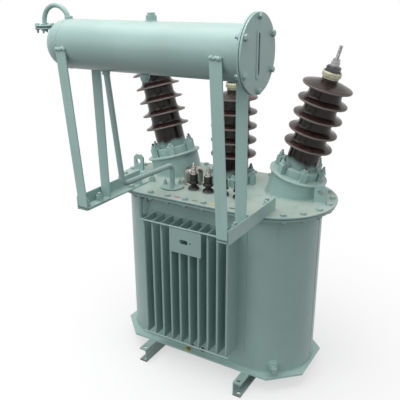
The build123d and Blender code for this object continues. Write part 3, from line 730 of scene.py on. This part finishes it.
class TRANSFORMER_OT_high_voltage(Step, bpy.types.Operator):
    """Turn the three high-voltage insulators and their terminals"""

    bl_idname = "transformer.high_voltage"
    bl_label = "High-Voltage Bushings"

    def make(self, scene):
        core, tip, half = 0.065, 0.0975, 0.0040
        top, seal_height = 0.399, 0.027
        corners, eases = [(0.012, 0.0), (core, 0.0)], [0.002]
        for shed in range(5):
            z = 0.1256 + shed * 0.0602
            corners += [(core, z - half), (tip, z - half), (tip, z + half + 0.0004), (core + 0.008, z + 0.0125),
                        (core, z + 0.024)]
            eases += [0.006, 0.0039, 0.0044, 0.012, 0.012]
        corners[-1:] = [(0.057, 0.3835), (0.037, 0.3885), (0.031, 0.391), (0.031, top), (0.012, top)]
        eases[-1:] = [0.010, 0.006, 0.002, 0.001]
        part, rim, rise = porcelain_skin(corners, eases, 72, core, tip)
        for name, x, lean, seat in HV_PLACES:
            place = bushing_place(x, lean, seat)
            made = piece("hv_insulator_" + name, [moved(part, place)], "brown_porcelain",
                         flat=True, attributes={"rim": rim, "rise": rise})
            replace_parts(made, "hv_porcelain_" + name)
        z = top + seal_height
        cap = hex_bar(0.050, z, z + 0.020, 36)
        collar = washer(0.034, z - 0.0005, z + 0.0015)
        lower_nut = hex_bar(0.030, z + 0.020, z + 0.034, 36)
        plate = washer(0.017, z + 0.034, z + 0.037)
        upper_nut = moved(hex_bar(0.026, z + 0.037, z + 0.048, 36), Matrix.Rotation(0.4, 4, "Z"))
        rod = threaded(0.0070, z + 0.040, z + 0.098, 0.0016, 16, 5)
        items = (cap, collar, lower_nut, plate, upper_nut, rod)
        parts = [moved(item, bushing_place(x, lean, seat)) for _, x, lean, seat in HV_PLACES for item in items]
        tones = [1, 1, 0, 0, 0, 0] * len(HV_PLACES)
        made = piece("hv_caps_and_rods", parts, "dull_steel dark_steel", tones)
        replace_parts(made, "hv_terminals")


class TRANSFORMER_OT_low_voltage(Step, bpy.types.Operator):
    """Turn the four low-voltage insulators, their seats and their stud tops"""

    bl_idname = "transformer.low_voltage"
    bl_label = "Low-Voltage Bushings"

    def make(self, scene):
        corners = np.array([(2, 0), (24.5, 0), (24.5, 7), (21, 13), (13, 18), (12, 22), (14, 26), (22, 29),
                            (22.5, 34), (19, 38), (17, 42), (18, 46), (18, 54), (17, 56), (18, 58), (18, 68),
                            (15, 70), (2, 70)]) / 1000
        part, rim, _ = porcelain_skin(corners, 0.0022, 48, 0.012, 0.0245)
        places = [at(x, y, COVER_TOP) for x, y in LV_PLACES]
        whole = repeated(part, places)
        made = piece("lv_insulators", [whole], "black_porcelain", flat=True,
                     attributes={"rim": np.tile(rim, len(places))})
        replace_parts(made, "lv_porcelains")
        seat = washer(0.029, 0.0, 0.0018)
        piece("lv_seats", [repeated(seat, places)])
        stack = [washer(0.0160, 0.070, 0.0728), hex_bar(0.0215, 0.0728, 0.0815), washer(0.0145, 0.0815, 0.0838),
                 moved(hex_bar(0.0205, 0.0838, 0.0925), Matrix.Rotation(0.5, 4, "Z")), washer(0.0125, 0.0925, 0.0945),
                 moved(hex_bar(0.0175, 0.0945, 0.1020), Matrix.Rotation(0.2, 4, "Z")),
                 threaded(0.0050, 0.098, 0.116, 0.0016, 12, 5)]
        made = piece("lv_stud_tops", [repeated(stacked(stack), places)], "plated_steel")
        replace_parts(made, "lv_terminals")


def on_circle(x, y, radius, degrees):
    """A point of a circle about (x, y)."""
    angle = math.radians(degrees)
    return x + radius * math.cos(angle), y + radius * math.sin(angle)


def cover_bolt_points(s):
    """(x, y) of each cover bolt: straight rows at y = +-line, arcs at angle k step about (+-arc_x, 0)."""
    xs = (np.arange(s.cover_row) - (s.cover_row - 1) / 2) * s.cover_pitch
    rows = [np.stack([xs, np.full_like(xs, side * s.cover_circle)], -1) for side in (-1, 1)]
    angle = (np.arange(s.cover_arc) - (s.cover_arc - 1) / 2) * s.arc_step
    for side in (-1, 1):
        x, y = TANK_ARC_X + s.cover_circle * np.cos(angle), s.cover_circle * np.sin(angle)
        rows.append(np.stack([side * x, y], -1))
    return np.concatenate(rows)


class TRANSFORMER_OT_cover_bolts(Step, bpy.types.Operator):
    """Put the bolts round the cover, with nuts and stud tails under the rim"""

    bl_idname = "transformer.cover_bolts"
    bl_label = "Cover Bolts"

    def make(self, scene):
        s = scene.transformer_fasteners
        points = cover_bolt_points(s)
        under_arm = (points[:, 1] < -0.19) & (np.abs(np.abs(points[:, 0]) - 0.292) < 0.02)
        head = stacked([washer(s.cover_flats * 0.62, 0.0, 0.0016),
                        hex_bar(s.cover_flats, 0.0016, 0.0016 + s.cover_head)])
        turns = np.random.default_rng(5).uniform(0, 60, len(points))
        turns[np.abs(points[:, 1]) < 0.02] = 30.0
        heads = [at(x, y, COVER_TOP, turn) for (x, y), turn, skip in zip(points, turns, under_arm) if not skip]
        nut = hex_bar(s.cover_flats, 0.0, 0.010)
        stub = threaded(0.0058, 0.004, 0.0165, 0.0016, 10, 4)
        tails = [at(x, y, COVER_UNDER, turn) @ UPSIDE_DOWN for (x, y), turn in zip(points, turns)]
        piece("cover_bolts", [repeated(head, heads), repeated(stacked([nut, stub]), tails)])


class TRANSFORMER_OT_clamp_studs(Step, bpy.types.Operator):
    """Put a stud, washer and nut on each bushing clamp"""

    bl_idname = "transformer.clamp_studs"
    bl_label = "Clamp Studs"

    def make(self, scene):
        s = scene.transformer_fasteners
        painted, bare = [], []
        nut = stacked([washer(0.0112, CLAW_TOP, CLAW_TOP + 0.0018),
                       hex_bar(s.claw_flats, CLAW_TOP + 0.0018, CLAW_TOP + 0.0105)])
        stud = threaded(s.claw_stud / 2, CLAW_TOP + 0.008, CLAW_TOP + 0.021, 0.0015, 12, 5)
        for _, x, lean, seat in HV_PLACES:
            place = bushing_place(x, lean, seat)
            for claw in range(6):
                spot = place @ turn_by(60 * claw, "Z")
                spot = spot @ Matrix.Translation((0.0925, 0, 0)) @ Matrix.Rotation(0.7 * claw + lean, 4, "Z")
                painted.append(moved(nut, spot))
                (bare if (claw + int(lean)) % 3 else painted).append(moved(stud, spot))
        tones = [0] * len(painted) + [1] * len(bare)
        piece("clamp_studs", painted + bare, "paint_fittings dark_steel", tones)


class TRANSFORMER_OT_flange_bolts(Step, bpy.types.Operator):
    """Put the bolts on the oil pipe's foot, the breather flanges and the conservator's end cover"""

    bl_idname = "transformer.flange_bolts"
    bl_label = "Flange Bolts"

    def make(self, scene):
        s = scene.transformer_fasteners
        foot_x, foot_y, foot_z = OIL_FOOT
        stud = stacked([washer(0.0100, 0.0, 0.002), hex_bar(0.015, 0.002, 0.010),
                        moved(hex_bar(0.013, 0.010, 0.016), Matrix.Rotation(0.4, 4, "Z")),
                        threaded(0.0045, 0.012, 0.022, 0.0015, 10, 5)])
        spots = [at(*on_circle(foot_x, foot_y, 0.037, a), foot_z + OIL_FLANGE, a) for a in (60, 180, 300)]
        piece("oil_foot_studs", [repeated(stud, spots)])

        top, bottom = BREATHER_JOINT + FLANGE_FAR, BREATHER_JOINT - FLANGE_FAR
        above = hex_bar(0.013, 0.0, 0.0045)
        below = stacked([hex_bar(0.012, 0.0, 0.005), threaded(0.0036, 0.003, 0.014, 0.00125, 10, 4)])
        spots = [on_circle(BREATHER_X, DRUM_Y, 0.0265, a) for a in (-59, 31, 121, 211)]
        piece("breather_bolts",
              [repeated(above, [at(x, y, top, 20) for x, y in spots]),
               repeated(below, [at(x, y, bottom, 40) @ UPSIDE_DOWN for x, y in spots])])

        head = stacked([washer(0.0105, 0.0, 0.0015), hex_bar(s.end_flats, 0.0015, 0.009)])
        tail = stacked([hex_bar(s.end_flats, 0.0, 0.008), threaded(0.0045, 0.005, 0.016, 0.0015, 10, 4)])
        heads, tails = [], []
        for step in range(6):
            y, z = on_circle(DRUM_Y, DRUM_Z, s.end_circle, 90 + 60 * step)
            heads.append(Matrix.Translation((END_FACE, y, z)) @ Matrix.Rotation(math.pi / 2, 4, "Y")
                         @ Matrix.Rotation(0.5 * step, 4, "Z"))
            tails.append(Matrix.Translation((FLANGE_LEFT, y, z)) @ Matrix.Rotation(-math.pi / 2, 4, "Y"))
        piece("end_cover_bolts", [repeated(head, heads), repeated(tail, tails)])


class TRANSFORMER_OT_frame_bolts(Step, bpy.types.Operator):
    """Put the bolts that hold the straps to the arms and the arms to the cover"""

    bl_idname = "transformer.frame_bolts"
    bl_label = "Frame Bolts"

    def make(self, scene):
        tall = stacked([washer(0.0150, 0.0, 0.003), hex_bar(0.024, 0.003, 0.016),
                        moved(hex_bar(0.022, 0.016, 0.023), Matrix.Rotation(0.5, 4, "Z")),
                        threaded(0.008, 0.018, 0.032, 0.002, 12, 5)])
        low = stacked([washer(0.0135, 0.0, 0.0025), hex_bar(0.021, 0.0025, 0.011)])
        strap_top = ARM_TOP + 0.005
        places = [(tall, at(x, y, strap_top, 17)) for x in STRAP_XS for y in (-0.503, -0.427)]
        places += [(low, at(x, -0.226, ARM_TOP, 8)) for x in (-0.311, 0.285)]
        places += [(tall, at(x, -0.172, ARM_TOP, 24)) for x in (-0.311, 0.285)]
        places += [(tall, at(-0.290, -0.106, COVER_TOP, 5)), (tall, at(0.268, -0.128, COVER_TOP, 5))]
        piece("frame_bolts", [moved(part, place) for part, place in places])


class TRANSFORMER_OT_small_fittings(Step, bpy.types.Operator):
    """Put the spun dome over the tap switch and the plugs on the cover and the tank"""

    bl_idname = "transformer.small_fittings"
    bl_label = "Dome and Plugs"

    def make(self, scene):
        dome = turned(rounded([(0.001, 0.0), (0.050, 0.0), (0.050, 0.0045), (0.042, 0.006), (0.041, 0.010),
                               (0.041, 0.068), (0.001, 0.069)], [0.001, 0.002, 0.002, 0.003, 0.026], 10), 72)
        made = piece("spun_dome", [moved(dome, at(-0.124, -0.028, COVER_TOP))], "spun_dome")
        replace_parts(made, "tap_dome")
        cap = turned(rounded([(0.001, 0.0), (0.0165, 0.0), (0.0165, 0.007), (0.012, 0.0095), (0.001, 0.0100)],
                             0.002), 40)
        piece("cover_plug", [moved(cap, at(-0.394, -0.027, COVER_TOP))], "paint_plates")
        outward = Matrix.Rotation(math.pi / 2, 4, "X")
        plug = turned(rounded([(0.001, -0.002), (0.010, -0.002), (0.010, 0.005), (0.006, 0.0065), (0.001, 0.0068)],
                              0.0015), 28)
        small = turned(rounded([(0.001, -0.002), (0.006, -0.002), (0.006, 0.004), (0.003, 0.005), (0.001, 0.005)],
                               0.001), 24)
        piece("tank_plugs", [moved(plug, Matrix.Translation((0.017, -TANK_RADIUS, 0.093)) @ outward),
                             moved(small, Matrix.Translation((-0.033, -TANK_RADIUS, 0.096)) @ outward)],
              "dark_plug")


def oval_path(z):
    """The tank's outline: two straight flanks and two half rounds, with its outward directions."""
    radius, step = TANK_RADIUS, 0.003
    arc = np.linspace(-math.pi / 2, math.pi / 2, int(math.pi * radius / step))
    right = np.stack([TANK_ARC_X + radius * np.cos(arc), radius * np.sin(arc)], -1)
    flank = np.linspace(TANK_ARC_X, -TANK_ARC_X, int(2 * TANK_ARC_X / step))[1:-1]
    rear = np.stack([flank, np.full_like(flank, radius)], -1)
    half = np.concatenate([right, rear])
    path = np.concatenate([half, -half])
    out_half = np.concatenate([np.stack([np.cos(arc), np.sin(arc)], -1), np.tile([0.0, 1.0], (len(rear), 1))])
    outward = np.concatenate([out_half, -out_half])
    zero = np.zeros((len(path), 1))
    return np.hstack([path, zero + z]), np.hstack([outward, zero])


def ring_path(centre, u, v, radius_u, radius_v):
    """centre + radius_u cos(a) u + radius_v sin(a) v, with its outward directions."""
    count = int(2 * math.pi * max(radius_u, radius_v) / 0.002)
    a = (np.arange(count) * 2 * math.pi / count)[:, None]
    u, v = np.asarray(u, float), np.asarray(v, float)
    out = np.cos(a) * u + np.sin(a) * v
    return np.asarray(centre, float) + radius_u * np.cos(a) * u + radius_v * np.sin(a) * v, out


def saddle_path(x, radius, above):
    """A pipe's foot on the drum: z = drum z +- sqrt(R^2 - (r sin a)^2)."""
    count = max(24, int(2 * math.pi * radius / 0.002))
    a = np.arange(count) * 2 * math.pi / count
    z = np.sqrt(DRUM_RADIUS ** 2 - (radius * np.sin(a)) ** 2) * above
    path = np.stack([x + radius * np.cos(a), DRUM_Y + radius * np.sin(a), DRUM_Z + z], -1)
    return path, np.stack([np.cos(a), np.sin(a), 0 * a], -1)


class TRANSFORMER_OT_weld_beads(Step, bpy.types.Operator):
    """Lay the weld beads on the tank, the drum, the fins, the turrets and the fittings"""

    bl_idname = "transformer.weld_beads"
    bl_label = "Weld Beads"

    def make(self, scene):
        w = scene.transformer_welds

        def loop(path_and_out, size, seed):
            return bead(*path_and_out, size, w.ripple, True, seed)

        def run(start, end, out, size, seed):
            return bead(line(start, end), out, size, w.ripple, False, seed)

        tank = [loop(oval_path(BASE_TOP), w.fillet, 2), loop(oval_path(COVER_UNDER), w.fillet * 0.8, 3)]
        low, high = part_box("fin_panel_front")
        for side in (-1, 1):
            y, end_x = side * (TANK_RADIUS + 0.0015), side * (TANK_ARC_X + TANK_RADIUS)
            for z in (low.z, high.z):
                tank.append(run((low.x, y, z), (high.x, y, z), (0, side, 0), w.fillet * 0.75, 4))
            for x in (low.x, high.x):
                tank.append(run((x, y, low.z), (x, y, high.z), (0, side, 0), w.fillet * 0.75, 5))
            tank.append(run((end_x, 0, BASE_TOP), (end_x, 0, COVER_UNDER), (side, 0, 0), w.seam * 0.6, 6))
        piece("tank_beads", tank, "paint_beads", flat=True)

        drum = []
        for x, size in ((DRUM_LEFT, w.seam * 0.4), (FLANGE_LEFT, w.fillet * 0.7)):
            path = ring_path((x, DRUM_Y, DRUM_Z), (0, 1, 0), (0, 0, 1), DRUM_RADIUS, DRUM_RADIUS)
            drum.append(loop(path, size, 7))
        for x, radius, above in ((0.0035, 0.0175, 1), (-0.030, 0.016, -1), (OIL_X, 0.0145, -1)):
            drum.append(loop(saddle_path(x, radius, above), w.fillet * 0.7, 8))
        for x in STRAP_XS:
            for angle in (186, 8):
                drum.append(self.strap_top(x, math.radians(angle), w))
        piece("drum_beads", drum, "paint_beads", flat=True)

        fittings = []
        for _, x, lean, seat in HV_PLACES:
            if seat:
                long_radius = TURRET_RADIUS / math.cos(math.radians(lean))
                path = ring_path((x, HV_ROW_Y, COVER_TOP), (1, 0, 0), (0, 1, 0), long_radius, TURRET_RADIUS)
                fittings.append(loop(path, w.fillet, 9))
        for x in (-LUG_X, LUG_X):
            for side in (-1, 1):
                start, end = (x - 0.024, side * 0.005, COVER_TOP), (x + 0.024, side * 0.005, COVER_TOP)
                fittings.append(run(start, end, (0, side, 0), w.fillet, 10))
        turn = math.radians(-60)
        axis = np.array([math.cos(turn), math.sin(turn), 0])
        across = np.array([-math.sin(turn), math.cos(turn), 0])
        centre = np.array([TANK_ARC_X, 0, BASE_TOP + 0.042]) + axis * (TANK_RADIUS - 0.0006)
        fittings.append(loop(ring_path(centre, across, (0, 0, 1), 0.0215, 0.0215), w.fillet * 0.8, 11))
        centre = (OIL_FOOT[0], OIL_FOOT[1], OIL_FOOT[2] + OIL_FLANGE)
        fittings.append(loop(ring_path(centre, (1, 0, 0), (0, 1, 0), 0.0107, 0.0107), w.fillet * 0.8, 12))
        piece("fitting_beads", fittings, "paint_beads", flat=True)

    def strap_top(self, x, angle, w):
        """A ragged heavy bead across a strap's end, along X on the drum at an angle."""
        radius = DRUM_RADIUS + 0.003
        y, z = DRUM_Y + radius * math.cos(angle), DRUM_Z + radius * math.sin(angle)
        path = line((x - 0.0225, y, z), (x + 0.0225, y, z), 0.0015)
        rng = np.random.default_rng(int(abs(x) * 1000) + int(angle * 10))
        path[:, 2] += np.convolve(rng.normal(0, 0.0022, len(path)), np.full(4, 0.25), mode="same")
        return bead(path, (0, math.cos(angle), math.sin(angle)), w.heavy, w.ripple * 1.4, False, 13)


class TRANSFORMER_OT_stage(Step, bpy.types.Operator):
    """Set the floor, the light and the camera"""

    bl_idname = "transformer.stage"
    bl_label = "Stage"

    def make(self, scene):
        s = scene.transformer_stage
        scene.view_settings.view_transform = "Standard"

        side = np.linspace(-9, 9, 7)
        x, y = np.meshgrid(side, side, indexing="ij")
        points = np.stack([x, y, np.full_like(x, -0.0005)], -1).reshape(-1, 3)
        i, j = np.meshgrid(np.arange(6), np.arange(6), indexing="ij")
        quads = np.stack([i * 7 + j, (i + 1) * 7 + j, (i + 1) * 7 + j + 1, i * 7 + j + 1], -1).reshape(-1, 4)
        mesh = bpy.data.meshes.new("floor")
        mesh.from_pydata(points.tolist(), [], quads.tolist())
        floor = bpy.data.objects.new("floor", mesh)
        scene.collection.objects.link(floor)
        f = Finish("floor")
        seen = f.seen()
        tone = f.mix(seen, [s.bounce] * 3, (0.95, 0.95, 0.95))
        lit = f.node("BsdfDiffuse", {}, {"Color": tone})
        away = (f.x * f.x + f.y * f.y).math("SQRT")
        plain = f.node("Emission", {}, {"Color": (1, 1, 1, 1), "Strength": 1.0})
        share = seen * (f.ease(away, 0.45, 1.5) * 0.4 + 0.6)
        both = f.node("MixShader", {}, {0: share, 1: lit, 2: plain})
        f.node("OutputMaterial", {}, {"Surface": both}, out=None)
        mesh.materials.append(f.material)

        world = scene.world = bpy.data.worlds.new("studio")
        sky = Nodes(world)
        strength = sky.node("MapRange", {}, {"Value": sky.seen(), "To Min": s.sky, "To Max": 1.0})
        light = sky.node("Background", {}, {"Color": (1, 1, 1, 1), "Strength": strength})
        sky.node("OutputWorld", {}, {"Surface": light}, out=None)

        self.lamp("overhead", s.overhead, 3.4, 2.6, (-0.5, -0.9, 3.8), turn_by(-12, "X"))
        toward = Vector((1.3, 3.0, -2.2)).to_track_quat("-Z", "Y").to_matrix().to_4x4()
        self.lamp("front", s.front, 2.2, 2.2, (-1.3, -3.2, 3.0), toward)

        camera = bpy.data.cameras.new("camera")
        camera.sensor_width = 36.0
        camera.lens = s.lens
        camera.clip_start = 0.05
        holder = bpy.data.objects.new("camera", camera)
        holder.matrix_world = (Matrix.Translation((1.0970, -2.0187, 1.5856)) @ Matrix.Rotation(0.53885, 4, "Z")
                               @ Matrix.Rotation(math.pi / 2 - 0.35592, 4, "X") @ Matrix.Rotation(-0.00458, 4, "Z"))
        scene.collection.objects.link(holder)
        scene.camera = holder

    def lamp(self, name, power, wide, deep, spot, turn):
        """A soft rectangular lamp."""
        lamp = bpy.data.lights.new(name, "AREA")
        lamp.shape, lamp.size, lamp.size_y, lamp.energy = "RECTANGLE", wide, deep, power
        hung = bpy.data.objects.new(name, lamp)
        hung.matrix_world = Matrix.Translation(spot) @ turn
        bpy.context.scene.collection.objects.link(hung)


class TRANSFORMER_PT_panel(bpy.types.Panel):
    """The steps and settings of the transformer"""

    bl_idname = "TRANSFORMER_PT_panel"
    bl_label = "Pole Mounted Transformer"
    bl_space_type = "VIEW_3D"
    bl_region_type = "UI"
    bl_category = "Transformer"

    def draw(self, context):
        scene, layout = context.scene, self.layout
        for step in STEPS:
            layout.operator(step.bl_idname)
        for group in (scene.transformer_finish, scene.transformer_fasteners, scene.transformer_welds,
                      scene.transformer_stage):
            box = layout.box()
            for name in group.__annotations__:
                box.prop(group, name)


SETTINGS = (("transformer_finish", TransformerFinish), ("transformer_fasteners", TransformerFasteners),
            ("transformer_welds", TransformerWelds), ("transformer_stage", TransformerStage))
STEPS = (TRANSFORMER_OT_finishes, TRANSFORMER_OT_bushing_seats, TRANSFORMER_OT_pipes, TRANSFORMER_OT_left_arm,
         TRANSFORMER_OT_high_voltage, TRANSFORMER_OT_low_voltage, TRANSFORMER_OT_cover_bolts,
         TRANSFORMER_OT_clamp_studs, TRANSFORMER_OT_flange_bolts, TRANSFORMER_OT_frame_bolts,
         TRANSFORMER_OT_small_fittings, TRANSFORMER_OT_weld_beads, TRANSFORMER_OT_stage)


def register():
    for name, group in SETTINGS:
        bpy.utils.register_class(group)
        setattr(bpy.types.Scene, name, PointerProperty(type=group))
    for step in STEPS:
        bpy.utils.register_class(step)
    bpy.utils.register_class(TRANSFORMER_PT_panel)


def unregister():
    bpy.utils.unregister_class(TRANSFORMER_PT_panel)
    for step in reversed(STEPS):
        bpy.utils.unregister_class(step)
    for name, group in reversed(SETTINGS):
        delattr(bpy.types.Scene, name)
        bpy.utils.unregister_class(group)


def main():
    register()
    for step in STEPS:
        group, name = step.bl_idname.split(".")
        getattr(getattr(bpy.ops, group), name)()


if __name__ == "__main__":
    main()
